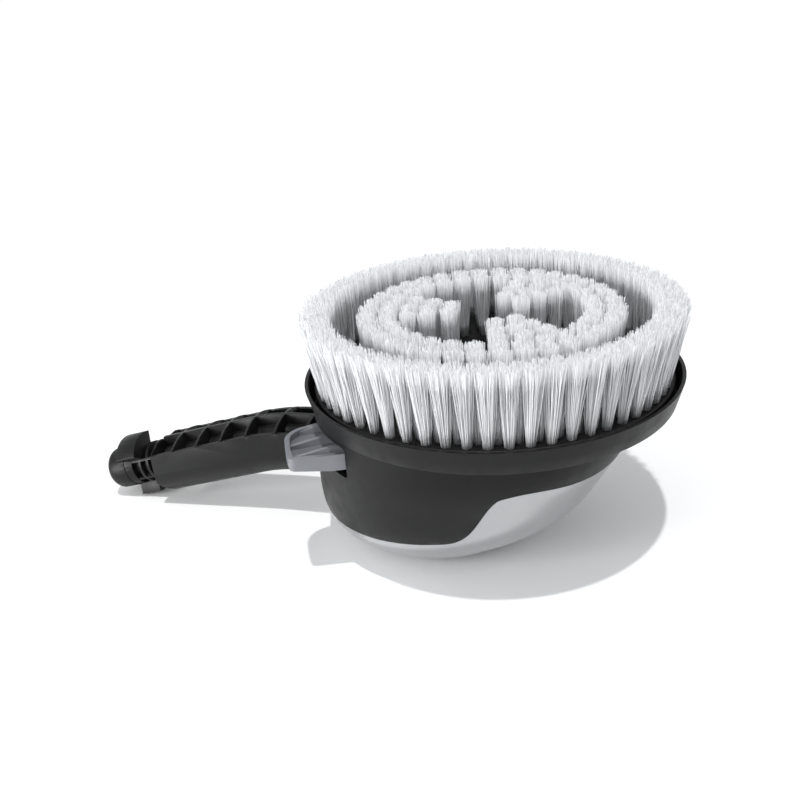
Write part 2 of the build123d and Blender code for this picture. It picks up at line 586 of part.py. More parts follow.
def build_lever():
    """The release lever: a ribbed paddle outside, a neck on the pivot and a fork round the hub."""
    outline = lever_outline()
    body = Pos(0, 0, LEVER_BOTTOM_Z) * extrude(outline, LEVER_TOP_Z - LEVER_BOTTOM_Z)
    # hollow the top, leaving a rim round the paddle
    recess = offset(outline, -2.6)
    body -= Pos(0, 0, LEVER_TOP_Z - 3.2) * extrude(recess, 6)
    # finger ridges, rising towards the housing
    for y, reach in LEVER_RIDGES:
        with BuildSketch(Plane.XZ.offset(-y)) as ridge:
            Polygon(
                (82, LEVER_TOP_Z - 3.4),
                (reach, LEVER_TOP_Z - 3.4),
                (reach, LEVER_TOP_Z - 1.0),
                (88, LEVER_TOP_Z + 1.6),
                (82, LEVER_TOP_Z + 1.6),
                align=None,
            )
        body += extrude(ridge.sketch, 1.1, both=True)
    # thin the underside towards the tip
    with BuildSketch(Plane.XZ) as under:
        Polygon(
            (96, LEVER_BOTTOM_Z - 1),
            (96, LEVER_BOTTOM_Z),
            (118, LEVER_BOTTOM_Z + 2.6),
            (118, LEVER_BOTTOM_Z - 1),
            align=None,
        )
    body -= extrude(under.sketch, 40, both=True)
    low, high = LEVER_BOTTOM_Z + 0.8, LEVER_BOTTOM_Z + 6.2
    neck_outline = Polygon(
        (LEVER_PIVOT_R + 7, -11), (85.5, -17), (85.5, 24), (LEVER_PIVOT_R + 7, 11), align=None
    )
    neck = Pos(0, 0, low) * extrude(neck_outline, high - low)
    barrel = Pos(LEVER_PIVOT_R, 0, LEVER_PIVOT_Z) * Rot(90, 0, 0) * Cylinder(5.0, 24.0)
    arm = block(30, LEVER_PIVOT_R + 8, -8, 8, low, high)
    prong_low, prong_high = LEVER_BOTTOM_Z + 1.2, EJECTOR_BOTTOM_Z - 1.8
    bar = block(24, 32, -LEVER_FORK_Y - 3, LEVER_FORK_Y + 3, prong_low, prong_high)
    body += neck + barrel + arm + bar
    for side in (-1, 1):
        y0, y1 = side * LEVER_FORK_Y - 3, side * LEVER_FORK_Y + 3
        body += block(-3.5, 28, y0, y1, prong_low, prong_high)
        pad_z = EJECTOR_BOTTOM_Z - SEAT_GAP - 3.0
        body += Pos(0, side * LEVER_FORK_Y, pad_z) * Rot(90, 0, 0) * Cylinder(3.0, 6.0)
    body -= Pos(LEVER_PIVOT_R, 0, LEVER_PIVOT_Z) * Rot(90, 0, 0) * Cylinder(LEVER_PIN_R + RUNNING, 40)
    lever = lever_place() * body
    pin = lever_place() * Pos(LEVER_PIVOT_R, 0, LEVER_PIVOT_Z) * Rot(90, 0, 0) * Cylinder(LEVER_PIN_R, 33.0)
    return max(solids_of(lever), key=lambda s: s.volume), pin


def build_lever_spring():
    """The compression spring between the lever's inner arm and the deck."""
    low = LEVER_BOTTOM_Z + 6.2 + SPRING_WIRE_R + 0.2
    high = LEDGE_TOP_Z - SPRING_WIRE_R - 0.2
    path = Helix(pitch=(high - low) / SPRING_TURNS, height=high - low, radius=SPRING_R)
    section = Plane(path @ 0, z_dir=path % 0) * Circle(SPRING_WIRE_R)
    coil = sweep(section, path=path, is_frenet=True)
    spot = polar(SPRING_AT_R, LEVER_AZIMUTH)
    return Pos(spot.X, spot.Y, low) * coil


# ------------------------------------------------------------------ brush
def tuft_places():
    """Every tuft by node: foot centre, tip centre, tip radius."""
    groups = {}
    for name, rows in (("outer", OUTER_ROWS), ("inner", INNER_ROWS)):
        for k, (radius, count, first, height, lean, tip_r) in enumerate(rows, 1):
            spots = []
            for n in range(count):
                angle = first + 360 / count * n
                spots.append((polar(radius, angle), polar(radius + lean, angle, RIM_Z + height), tip_r))
            groups[f"{name}_tufts_row_{k}"] = spots
    blades = []
    for b in range(BLADE_COUNT):
        for radius, angles in BLADE_ROWS:
            for angle in angles:
                at = BLADE_FIRST_ANGLE + 360 / BLADE_COUNT * b + angle
                blades.append((polar(radius, at), polar(radius, at, RIM_Z + BLADE_TIP), BLADE_TIP_R))
    groups["blade_tufts"] = blades
    return groups


def build_brush():
    """The brush plate with a blind hole for each tuft, and the tufts as plain tapered solids."""
    groups = tuft_places()
    plate = cylinder(PLATE_R, BRUSH_BOTTOM_Z, BRUSH_TOP_Z)
    plate = chamfer(plate.edges(), 0.6)
    plate -= tube(81.0, 70.0, BRUSH_BOTTOM_Z - 1, BRUSH_BOTTOM_Z + 3.0)
    plate += cylinder(SOCKET_R, SOCKET_BOTTOM_Z, BRUSH_TOP_Z)
    # open slots between the blades, where the water comes through
    for b in range(BLADE_COUNT):
        middle = BLADE_FIRST_ANGLE + 360 / BLADE_COUNT * (b + 0.5)
        for radius, length in ((29, 12), (41, 26)):
            slot = Rot(0, 0, middle) * Pos(radius, 0) * SlotOverall(length, 5.5, rotation=90)
            plate -= Pos(0, 0, BRUSH_BOTTOM_Z - 1) * extrude(slot, BRUSH_PLATE_THICKNESS + 2)
    holes = []
    tufts = {}
    hole_z = BRUSH_TOP_Z - TUFT_HOLE_DEPTH
    for node, spots in groups.items():
        tufts[node] = []
        for foot, tip, tip_r in spots:
            holes.append(cylinder(TUFT_R + TUFT_HOLE_GAP, hole_z, BRUSH_TOP_Z + 1, foot))
            tufts[node].append(tuft(Vector(foot.X, foot.Y, hole_z + TUFT_HOLE_GAP), tip, tip_r))
    plate -= holes
    plate -= splined_bore(SOCKET_BOTTOM_Z - 1, HUB_TOP_Z + 0.6)
    return plate, tufts


def tuft(foot, tip, tip_r):
    """One tuft: a straight stub in its hole, then a cone that leans and widens to the tip."""
    neck_z = BRUSH_TOP_Z + 0.3
    stub = Pos(foot.X, foot.Y, foot.Z) * Circle(TUFT_R)
    neck = Pos(foot.X, foot.Y, neck_z) * Circle(TUFT_R)
    head = Pos(tip.X, tip.Y, tip.Z) * Circle(tip_r)
    lower = extrude(stub, neck_z - foot.Z)
    return lower + loft([neck, head])


# ------------------------------------------------------------------ handle
def handle_axis():
    """The channel's axis in the XZ plane, from the inlet end of the handle to the housing."""
    slope = tan(radians(HANDLE_SLOPE))
    corner_x = rest_corner_x()
    end_z = CHANNEL_Z - slope * (corner_x - HANDLE_END_X)
    reach = HANDLE_BEND_R * tan(radians(HANDLE_SLOPE / 2))
    a = Vector(HANDLE_END_X, 0, end_z)
    corner = Vector(corner_x, 0, CHANNEL_Z)
    along = (corner - a).normalized()
    t0 = corner - along * reach
    t1 = corner + Vector(reach, 0, 0)
    b = Vector(ROOT_INNER_X, 0, CHANNEL_Z)
    return a, t0, t1, b, along


def rest_corner_x():
    """Places the bend so that the lower lug touches the floor."""
    slope = radians(HANDLE_SLOPE)
    drop = LUG_FACE * sin(slope) + LUG_R * cos(slope)
    return HANDLE_END_X + (CHANNEL_Z - drop) / tan(slope)


def handle_section(grow=0.0):
    """The handle's cross-section, in a plane whose X is across and Y is up."""
    half = HANDLE_HALF_WIDTH + grow
    belly = HANDLE_BELLY_R + grow
    with BuildSketch() as section:
        with BuildLine():
            Line((-half, HANDLE_SIDE_TOP), (-belly, HANDLE_BELLY_CENTRE))
            ThreePointArc(
                (-belly, HANDLE_BELLY_CENTRE), (0, HANDLE_BELLY_CENTRE - belly), (belly, HANDLE_BELLY_CENTRE)
            )
            Line((belly, HANDLE_BELLY_CENTRE), (half, HANDLE_SIDE_TOP))
            ThreePointArc((half, HANDLE_SIDE_TOP), (0, HANDLE_CROWN + grow), (-half, HANDLE_SIDE_TOP))
        make_face()
    return section.sketch


def build_handle(outer):
    """The handle: smooth belly, cored top with a spine and cross ribs, and the water channel inside."""
    a, t0, t1, b, along = handle_axis()
    # in these planes X is across (the model's Y) and Y is up; the sweep starts outside the end face
    start = Plane(origin=a, x_dir=(0, 1, 0), z_dir=along)
    back = Plane(origin=a - along * HANDLE_OVERRUN, x_dir=(0, 1, 0), z_dir=along)
    bend = ThreePointArc(t0, bend_middle(t0, t1), t1)
    path = Line(back.origin, t0) + bend + Line(t1, Vector(-90, 0, CHANNEL_Z))
    full = sweep(back * handle_section(), path=path, transition=Transition.RIGHT)
    hollow = sweep(back * handle_section(-HANDLE_WALL), path=path, transition=Transition.RIGHT)
    open_top = Pos(0, HANDLE_SIDE_TOP + 10) * Rectangle(60, 20)
    upper = sweep(back * open_top, path=path, transition=Transition.RIGHT)
    spine = sweep(back * Rectangle(SPINE_THICKNESS, 80), path=path, transition=Transition.RIGHT)
    handle = full - hollow - upper + (spine & full)
    for plane in rib_planes(a, t0, t1, along):
        slab = plane * extrude(Rectangle(70, 70), RIB_THICKNESS)
        handle += slab & full
    channel_path = Line(a, t0) + bend + Line(t1, b)
    channel = sweep(start * Circle(CHANNEL_R), path=channel_path, transition=Transition.RIGHT)
    bore = sweep(start * Circle(CHANNEL_BORE_R), path=channel_path, transition=Transition.RIGHT)
    handle += back * extrude(handle_section(), HANDLE_OVERRUN + END_WALL)
    handle -= block(HANDLE_FACE_X - 40, HANDLE_FACE_X, -40, 40, -10, 80)
    handle -= outer
    handle += channel
    root = Cylinder(ROOT_R, ROOT_INNER_X + 97)
    handle += Pos((ROOT_INNER_X - 97) / 2, 0, CHANNEL_Z) * Rot(0, 90, 0) * root
    handle -= bore
    # socket for the connector's spigot, with room for the ribbed neck
    handle -= start * extrude(Circle(NECK_CORE_R - 1.0), 12.0)
    handle -= start * extrude(Circle(NECK_RING_R + SEAT_GAP), -10.0)
    with BuildSketch(Plane.XZ) as corner:
        Polygon(*HANDLE_CORNER, (-199.0, -10.0), (-209.0, -10.0), align=None)
    handle -= extrude(corner.sketch, 40, both=True)
    return max(solids_of(handle), key=lambda s: s.volume)


def bend_middle(t0, t1):
    """The middle of the bend's arc."""
    half = radians(HANDLE_SLOPE / 2)
    centre = Vector(t1.X, 0, t1.Z - HANDLE_BEND_R)
    return centre + Vector(-sin(half), 0, cos(half)) * HANDLE_BEND_R


def rib_planes(a, t0, t1, along):
    """Planes of the cross ribs, evenly spaced along the axis."""
    straight = (t0 - a).length
    bend = HANDLE_BEND_R * radians(HANDLE_SLOPE)
    planes = []
    for k in range(1, RIBS + 1):
        s = k * RIB_PITCH
        if s <= straight:
            origin, direction = a + along * s, along
        elif s <= straight + bend:
            turned = radians(HANDLE_SLOPE) - (s - straight) / HANDLE_BEND_R
            centre = Vector(t1.X, 0, t1.Z - HANDLE_BEND_R)
            origin = centre + Vector(-sin(turned), 0, cos(turned)) * HANDLE_BEND_R
            direction = Vector(cos(turned), 0, sin(turned))
        else:
            origin = t1 + Vector(s - straight - bend, 0, 0)
            direction = Vector(1, 0, 0)
        planes.append(Plane(origin=origin, x_dir=(0, 1, 0), z_dir=direction))
    return planes


def rod(radius, s0, s1):
    """A solid cylinder along Z, in a part's own frame."""
    return Pos(0, 0, s0) * Cylinder(radius, s1 - s0, align=(Align.CENTER, Align.CENTER, Align.MIN))


def sector(radius, middle, span):
    """A slice of a disc about a middle direction in degrees."""
    turns = [radians(middle + d) for d in (-span / 2, 0, span / 2)]
    corners = [(2 * radius * cos(t), 2 * radius * sin(t)) for t in turns]
    return Circle(radius) & Polygon((0, 0), *corners, align=None)


def build_connector():
    """The bayonet connector: spigot, ribbed neck, two lugs, barrel, and its nipple, ring and strainer."""
    a, _, _, _, along = handle_axis()
    # connector frame: Z runs out of the handle towards the inlet, X is the -Y side and Y is up
    frame = Plane(origin=a, x_dir=(0, -1, 0), z_dir=along * -1)
    length = NECK_LENGTH + BARREL_LENGTH
    spigot = rod(NECK_CORE_R - 1.0 - RUNNING, -11.5, 0)
    body = spigot + rod(NECK_CORE_R, 0, NECK_LENGTH)
    barrel = rod(BARREL_R, LUG_FACE, length)
    barrel = fillet(barrel.edges().group_by(Axis.Z)[-1], BARREL_ROUND)
    body += barrel + rod(BARREL_REAR_R, NECK_LENGTH, LUG_FACE)
    for k in range(NECK_RINGS):
        middle = NECK_LENGTH - NECK_RING_PITCH * (k + 1)
        body += rod(NECK_RING_R, middle - NECK_RING_THICKNESS / 2, middle + NECK_RING_THICKNESS / 2)
    for angle in NECK_FINS:
        fin = Pos(NECK_RING_R / 2, 0, NECK_LENGTH / 2) * Box(NECK_RING_R, 1.6, NECK_LENGTH)
        body += (Rot(0, 0, angle) * fin) & rod(NECK_RING_R, 0, NECK_LENGTH)
    for middle in (LUG_TURN, LUG_TURN + 180):
        body += Pos(0, 0, LUG_FACE - LUG_LENGTH) * extrude(sector(LUG_R, middle, LUG_SPAN_DEG), LUG_LENGTH)
    nipple_start = length - SOCKET_BORE_DEPTH
    body -= rod(SOCKET_BORE_R, nipple_start, length + 1)
    body -= rod(CHANNEL_BORE_R - 1.0, -12, length)
    nipple = rod(CHANNEL_BORE_R - 1.0, nipple_start - 8, nipple_start) + rod(5.0, nipple_start, length - 4)
    nipple += rod(6.2, nipple_start, nipple_start + 2.0)
    ring_s = length - 8.0
    nipple -= rod(6, ring_s - 1.0, ring_s + 1.0) - rod(3.9, ring_s - 1.0, ring_s + 1.0)
    nipple -= rod(2.6, nipple_start - 9, length)
    o_ring = Pos(0, 0, ring_s) * Torus(4.9, 0.98)
    strainer = rod(2.5, nipple_start - 6, nipple_start + 6) - rod(1.8, nipple_start - 5, nipple_start + 7)
    return frame * body, frame * nipple, frame * o_ring, frame * strainer


def build_feed_pipe():
    """The bent pipe from the handle's channel down to the jet, with a ring seal at each end."""
    start_x = ROOT_INNER_X - 6
    points = [
        (start_x, 0, CHANNEL_Z),
        (PIPE_DROP_X, 0, CHANNEL_Z),
        (PIPE_DROP_X, JET_Y, CHANNEL_Z),
        (PIPE_DROP_X, JET_Y, JET_Z),
        (JET_START_X + 3.5, JET_Y, JET_Z),
    ]
    path = FilletPolyline(*points, radius=PIPE_BEND_R)
    section = Plane(origin=points[0], z_dir=(1, 0, 0))
    outer = sweep(section * Circle(PIPE_R), path=path)
    inner = sweep(section * Circle(PIPE_BORE_R), path=path)
    return outer - inner


def build_bushes():
    """Plain bearings, two for each shaft, and the lip seal over the gearbox."""
    output = [
        tube(OUTPUT_BUSH_R, OUTPUT_SHAFT_R + RUNNING, BASE_Z + 3.0, SECOND_GEAR_Z - 1.0),
        tube(OUTPUT_BUSH_R, OUTPUT_SHAFT_R + RUNNING, COVER_UNDER_Z - 0.5, COVER_TOP_Z - 1.4),
    ]
    low = CHAMBER_FLOOR_Z + 1.2
    turbine = [
        tube(TURBINE_BUSH_R, TURBINE_SHAFT_R + RUNNING, low, CHAMBER_FLOOR_Z + 4.5, TURBINE),
        tube(TURBINE_BUSH_R, TURBINE_SHAFT_R + RUNNING, BASE_Z - 3.0, BASE_TOP_Z, TURBINE),
    ]
    seal = tube(OUTPUT_BUSH_R, OUTPUT_SHAFT_R + RUNNING, COVER_TOP_Z - 1.4, COVER_TOP_Z)
    return output, turbine, seal


def build_screws():
    """The screws that hold the deck to the housing and the gearbox to the deck."""
    seat_z = DECK_TOP_Z - 1.2
    deck = [screw(deck_screw_place(a, seat_z), 6.5) for a in DECK_SCREW_ANGLES]
    columns = [screw(polar(COLUMN_PITCH_R, a, seat_z), seat_z - COVER_UNDER_Z) for a in COLUMN_ANGLES]
    return deck, columns


def main():
    os.makedirs(OUT, exist_ok=True)
    housing, cover, outer = build_housing()
    write("housing_shell", housing)
    write("back_cover", cover)
    write("splash_deck", build_deck())
    base, gear_cover = build_gearbox()
    write("gearbox_base", base)
    write("gearbox_cover", gear_cover)
    write("turbine_chamber", build_turbine_chamber())
    write("jet_nozzle", build_jet())
    wheel, shaft, pinion = build_turbine()
    write("turbine_wheel", wheel)
    write("turbine_shaft", shaft)
    write("turbine_pinion", pinion)
    gear, pin = build_intermediate()
    write("intermediate_gear", gear)
    write("intermediate_pin", pin)
    wheel, shaft, hub, hub_screw, grip = build_output()
    write("output_gear", wheel)
    write("output_shaft", shaft)
    write("drive_hub", hub)
    write("hub_screw", hub_screw)
    write("hub_grip_ring", grip)
    write("ejector_ring", build_ejector())
    lever, pin = build_lever()
    write("release_lever", lever)
    write("lever_pin", pin)
    write("lever_spring", build_lever_spring())
    plate, tufts = build_brush()
    write("brush_plate", plate)
    for node, group in tufts.items():
        write(node, group)
    write("handle", build_handle(outer))
    connector, nipple, o_ring, strainer = build_connector()
    write("bayonet_connector", connector)
    write("inlet_nipple", nipple)
    write("inlet_o_ring", o_ring)
    write("inlet_strainer", strainer)
    write("feed_pipe", build_feed_pipe())
    output, turbine, seal = build_bushes()
    write("output_bushes", output)
    write("turbine_bushes", turbine)
    write("shaft_seal", seal)
    deck, columns = build_screws()
    write("deck_screws", deck)
    write("column_screws", columns)


main()
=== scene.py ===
"""Looks of the rotary wash brush: filament tufts, moulded plastics and a pale studio.

Lengths are in metres, in the frame of the CAD.
"""

import json
import math

import bmesh
import bpy
import numpy as np
from mathutils import Euler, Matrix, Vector


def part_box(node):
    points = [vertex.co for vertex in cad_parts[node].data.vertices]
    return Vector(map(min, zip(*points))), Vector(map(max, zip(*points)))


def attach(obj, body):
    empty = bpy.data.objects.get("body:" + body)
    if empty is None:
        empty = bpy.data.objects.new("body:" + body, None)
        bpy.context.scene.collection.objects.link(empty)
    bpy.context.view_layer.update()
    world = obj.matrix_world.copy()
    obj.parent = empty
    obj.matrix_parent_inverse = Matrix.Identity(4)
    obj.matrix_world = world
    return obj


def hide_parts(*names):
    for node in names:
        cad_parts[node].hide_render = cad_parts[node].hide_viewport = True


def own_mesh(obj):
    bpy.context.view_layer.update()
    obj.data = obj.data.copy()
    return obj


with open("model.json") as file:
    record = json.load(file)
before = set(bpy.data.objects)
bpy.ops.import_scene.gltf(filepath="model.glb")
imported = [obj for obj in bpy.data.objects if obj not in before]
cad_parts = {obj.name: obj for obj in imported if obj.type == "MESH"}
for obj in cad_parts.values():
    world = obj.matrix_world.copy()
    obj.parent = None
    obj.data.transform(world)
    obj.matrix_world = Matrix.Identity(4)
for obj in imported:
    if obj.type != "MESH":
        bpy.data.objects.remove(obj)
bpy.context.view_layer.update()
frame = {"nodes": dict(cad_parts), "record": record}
RNG = np.random.default_rng(20)


def add_object(name, data):
    """An object with the given data, linked into the scene."""
    obj = bpy.data.objects.new(name, data)
    bpy.context.scene.collection.objects.link(obj)
    return obj


# ------------------------------------------------------------------ node helpers
NOISE_ROUGHNESS = 0.55


def new_material(name):
    """A material, its node tree, its Principled shader and the object coordinates."""
    mat = bpy.data.materials.new(name)
    mat.use_nodes = True
    tree = mat.node_tree
    shader = tree.nodes["Principled BSDF"]
    place = tree.nodes.new("ShaderNodeTexCoord")
    return mat, tree, shader, place.outputs["Object"]


def noise(tree, place, scale, detail, stretch=None):
    """A noise texture's value, with an optional stretch of its space."""
    if stretch is not None:
        mapping = tree.nodes.new("ShaderNodeMapping")
        mapping.inputs["Scale"].default_value = stretch
        tree.links.new(place, mapping.inputs["Vector"])
        place = mapping.outputs["Vector"]
    tex = tree.nodes.new("ShaderNodeTexNoise")
    tex.inputs["Scale"].default_value = scale
    tex.inputs["Detail"].default_value = detail
    tex.inputs["Roughness"].default_value = NOISE_ROUGHNESS
    tree.links.new(place, tex.inputs["Vector"])
    return tex.outputs["Fac"]


def spread(tree, value, low, high, from_low=0.3, from_high=0.7):
    """Maps a value to a range. A noise texture's values lie mostly between 0.3 and 0.7."""
    node = tree.nodes.new("ShaderNodeMapRange")
    node.inputs["From Min"].default_value = from_low
    node.inputs["From Max"].default_value = from_high
    node.inputs["To Min"].default_value = low
    node.inputs["To Max"].default_value = high
    tree.links.new(value, node.inputs["Value"])
    return node.outputs["Result"]


def blend_colours(tree, factor, first, second):
    """A colour between two, by a factor."""
    node = tree.nodes.new("ShaderNodeMix")
    node.data_type = "RGBA"
    node.inputs["A"].default_value = (*first, 1.0)
    node.inputs["B"].default_value = (*second, 1.0)
    tree.links.new(factor, node.inputs["Factor"])
    return node.outputs["Result"]


def bumped(tree, shader, height, strength, distance):
    """Feeds a height into the shader's normal."""
    node = tree.nodes.new("ShaderNodeBump")
    node.inputs["Strength"].default_value = strength
    node.inputs["Distance"].default_value = distance
    tree.links.new(height, node.inputs["Height"])
    tree.links.new(node.outputs["Normal"], shader.inputs["Normal"])


# ------------------------------------------------------------------ materials
GLOSS_RANGE = 0.06  # how far a moulding's roughness strays to either side
METAL_ROUGHNESS_RANGE = 0.14  # how much rougher a metal is along its lines

MOULD_BLACK = (0.0050, 0.0050, 0.0052)
WORN_BLACK = (0.0080, 0.0080, 0.0083)
SILVER_DARK = (0.36, 0.365, 0.375)
SILVER_LIGHT = (0.46, 0.465, 0.475)
NYLON_GREY = (0.50, 0.51, 0.53)
NYLON_WHITE = (0.92, 0.925, 0.935)


def grey(value):
    """A neutral colour."""
    return (value, value, value)


def moulded(name, dark, light, roughness, grain=0.25, grain_scale=2600.0, level=0.5):
    """Moulded plastic: slow colour drift, a fine spark-eroded grain and uneven gloss."""
    mat, tree, shader, place = new_material(name)
    drift = spread(tree, noise(tree, place, scale=28.0, detail=4.0), 0.0, 1.0)
    tree.links.new(blend_colours(tree, drift, dark, light), shader.inputs["Base Color"])
    patches = noise(tree, place, scale=140.0, detail=5.0)
    gloss = spread(tree, patches, roughness - GLOSS_RANGE, roughness + GLOSS_RANGE)
    tree.links.new(gloss, shader.inputs["Roughness"])
    grains = noise(tree, place, scale=grain_scale, detail=2.0)
    bumped(tree, shader, grains, strength=grain, distance=0.00006)
    shader.inputs["Specular IOR Level"].default_value = level
    return mat


def painted_silver(name):
    """Satin silver paint: metal flake under a thin clear coat, with a faint orange peel."""
    mat, tree, shader, place = new_material(name)
    drift = spread(tree, noise(tree, place, scale=9.0, detail=3.0), 0.0, 1.0)
    paint = blend_colours(tree, drift, SILVER_DARK, SILVER_LIGHT)
    tree.links.new(paint, shader.inputs["Base Color"])
    flake = noise(tree, place, scale=5200.0, detail=1.0)
    tree.links.new(spread(tree, flake, 0.2, 0.3), shader.inputs["Roughness"])
    peel = noise(tree, place, scale=420.0, detail=2.0)
    bumped(tree, shader, peel, strength=0.05, distance=0.00008)
    shader.inputs["Metallic"].default_value = 0.85
    shader.inputs["Coat Weight"].default_value = 0.35
    shader.inputs["Coat Roughness"].default_value = 0.06
    return mat


def metal(name, dark, light, roughness, stretch):
    """Turned or drawn metal with fine lines."""
    mat, tree, shader, place = new_material(name)
    lines = noise(tree, place, scale=900.0, detail=3.0, stretch=stretch)
    tint = blend_colours(tree, spread(tree, lines, 0.0, 1.0), dark, light)
    tree.links.new(tint, shader.inputs["Base Color"])
    dulled = spread(tree, lines, roughness, roughness + METAL_ROUGHNESS_RANGE)
    tree.links.new(dulled, shader.inputs["Roughness"])
    bumped(tree, shader, lines, strength=0.2, distance=0.00003)
    shader.inputs["Metallic"].default_value = 1.0
    return mat


def bristle_material():
    """White nylon filament: each one a slightly different white, with streaks of gloss along it."""
    mat, tree, shader, place = new_material("bristle_nylon")
    tone = tree.nodes.new("ShaderNodeAttribute")
    tone.attribute_name = "tone"
    tint = blend_colours(tree, tone.outputs["Fac"], NYLON_GREY, NYLON_WHITE)
    tree.links.new(tint, shader.inputs["Base Color"])
    streak = noise(tree, place, scale=700.0, detail=2.0, stretch=(1.0, 1.0, 0.08))
    tree.links.new(spread(tree, streak, 0.34, 0.5), shader.inputs["Roughness"])
    shader.inputs["Specular IOR Level"].default_value = 0.35
    return mat


BLACK = moulded("black_housing", MOULD_BLACK, WORN_BLACK, roughness=0.42, grain=0.22, level=0.2)
HANDLE_BLACK = moulded(
    "black_handle", MOULD_BLACK, WORN_BLACK, roughness=0.38, grain=0.3, grain_scale=2200.0, level=0.24
)
PLATE_BLACK = moulded("black_plate", grey(0.004), grey(0.008), roughness=0.5, grain=0.3, level=0.3)
SILVER = painted_silver("silver_cover")
LEVER_GREY = moulded("lever_grey", (0.15, 0.158, 0.174), (0.19, 0.198, 0.214), roughness=0.36, grain=0.16)
CASE = moulded("case_black", grey(0.02), grey(0.032), roughness=0.55)
ACETAL = moulded("gear_acetal", (0.74, 0.73, 0.69), (0.82, 0.81, 0.77), roughness=0.4, grain=0.1)
PIPE = moulded("pipe_grey", (0.05, 0.05, 0.052), (0.08, 0.08, 0.082), roughness=0.5)
RUBBER = moulded("seal_rubber", grey(0.01), grey(0.02), roughness=0.75, grain=0.4)
STEEL = metal("steel", (0.48, 0.48, 0.49), (0.68, 0.68, 0.69), roughness=0.22, stretch=(1.0, 1.0, 0.05))
BRASS = metal("brass", (0.62, 0.45, 0.2), (0.8, 0.62, 0.32), roughness=0.25, stretch=(0.1, 1.0, 1.0))
BRISTLE = bristle_material()

NODE_MATERIALS = {
    "housing_shell": BLACK,
    "back_cover": SILVER,
    "handle": HANDLE_BLACK,
    "bayonet_connector": HANDLE_BLACK,
    "release_lever": LEVER_GREY,
    "ejector_ring": LEVER_GREY,
    "brush_plate": PLATE_BLACK,
    "splash_deck": PLATE_BLACK,
    "feed_pipe": PIPE,
}
SLOT_MATERIALS = {
    "gear_case": CASE,
    "gear_plastic": ACETAL,
    "steel": STEEL,
    "brass": BRASS,
    "rubber": RUBBER,
    "bristle": BRISTLE,
}
SLOT_OF = {s["node"]: s["material_slot"] for s in frame["record"]["subparts"]}


def paint_nodes():
    """Gives every CAD node its procedural material."""
    for node, obj in frame["nodes"].items():
        mat = NODE_MATERIALS.get(node) or SLOT_MATERIALS[SLOT_OF[node]]
        obj.data.materials.clear()
        obj.data.materials.append(mat)


# ------------------------------------------------------------------ moulded shells with softened edges
SHELL_WELD = 2e-6  # vertices of a shell nearer than this are merged
HARD_ANGLE = math.radians(38.0)  # an edge that turns by more is a hard one


def softened(node, body, edge):
    """A copy of a CAD node with merged vertices and small radii on its hard edges."""
    source = frame["nodes"][node]
    mesh = bpy.data.meshes.new(node + "_moulding")
    work = bmesh.new()
    work.from_mesh(source.data)
    bmesh.ops.remove_doubles(work, verts=work.verts, dist=SHELL_WELD)
    bmesh.ops.dissolve_degenerate(work, edges=work.edges, dist=SHELL_WELD)
    work.to_mesh(mesh)
    work.free()
    mesh.materials.append(NODE_MATERIALS[node])
    for face in mesh.polygons:
        face.material_index = 0
    mesh.shade_smooth()
    mesh.set_sharp_from_angle(angle=HARD_ANGLE)
    obj = add_object(node + "_moulding", mesh)
    bevel = obj.modifiers.new("edges", "BEVEL")
    bevel.width = edge
    bevel.segments = 2
    bevel.limit_method = "ANGLE"
    bevel.angle_limit = HARD_ANGLE
    bevel.harden_normals = True
    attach(obj, body)
    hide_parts(node)


def build_spring():
    """The lever's return spring: a copy of the CAD coil, fixed to the body."""
    coil = add_object("lever_spring_coil", frame["nodes"]["lever_spring"].data.copy())
    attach(coil, "body")
    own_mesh(coil)
    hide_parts("lever_spring")


# ------------------------------------------------------------------ bristles
FILAMENTS = 126  # in each tuft
STEPS = 4  # straight lengths along each filament
SIDES = 3  # of a filament, so that a triangle closes each end
FILAMENT_R = 0.0002
TIP_TAPER = 0.8  # a filament's radius at the tip, as a share of that at the root
GOLDEN_ANGLE = 2.399963

TUFT_WELD = 1e-6  # vertices of a tuft nearer than this are merged
SAME_LEVEL = 1e-5  # points of an end ring differ by less than this in height

SCATTER = 0.03  # how far a filament strays from its even place, as a share of the tuft's radius
ROOT_FILL = 0.93  # share of the tuft's foot that the roots fill
ROOT_DEPTH = 0.002  # how far the roots start under the plate's face
LEAST_WEAR = 0.15  # share of the ragged length that every filament loses
TIP_DOME = 0.0006  # how much lower the tuft's outer filaments end
LEAN_POWER = 1.25  # above 1, a tuft leans more towards its tip
FAN_START = 0.06  # share of the height where the filaments start to fan out
FAN_POWER = 0.95
WANDER = 0.00035  # sideways bow of a filament at half its height
TONE_MEAN = 0.7
TONE_SPREAD = 0.26

# ragged: spread of the tips' heights; flare: fan against the plain cone; jitter: scatter of the tips
OUTER_ROW = {"ragged": 0.0013, "flare": 1.28, "jitter": 0.18}
INNER_ROW = {"ragged": 0.0005, "flare": 1.04, "jitter": 0.1}
ROWS = {
    "outer_tufts_row_1": OUTER_ROW,
    "outer_tufts_row_2": OUTER_ROW,
    "inner_tufts_row_1": INNER_ROW,
    "inner_tufts_row_2": INNER_ROW,
    "blade_tufts": INNER_ROW,
}


def islands(mesh):
    """The vertices of each separate solid of a mesh, as arrays of positions."""
    work = bmesh.new()
    work.from_mesh(mesh)
    bmesh.ops.remove_doubles(work, verts=work.verts, dist=TUFT_WELD)
    found = []
    seen = set()
    for first in work.verts:
        if first in seen:
            continue
        seen.add(first)
        queue = [first]
        group = []
        while queue:
            vert = queue.pop()
            group.append(vert.co[:])
            for edge in vert.link_edges:
                other = edge.other_vert(vert)
                if other not in seen:
                    seen.add(other)
                    queue.append(other)
        found.append(np.array(group))
    work.free()
    return found


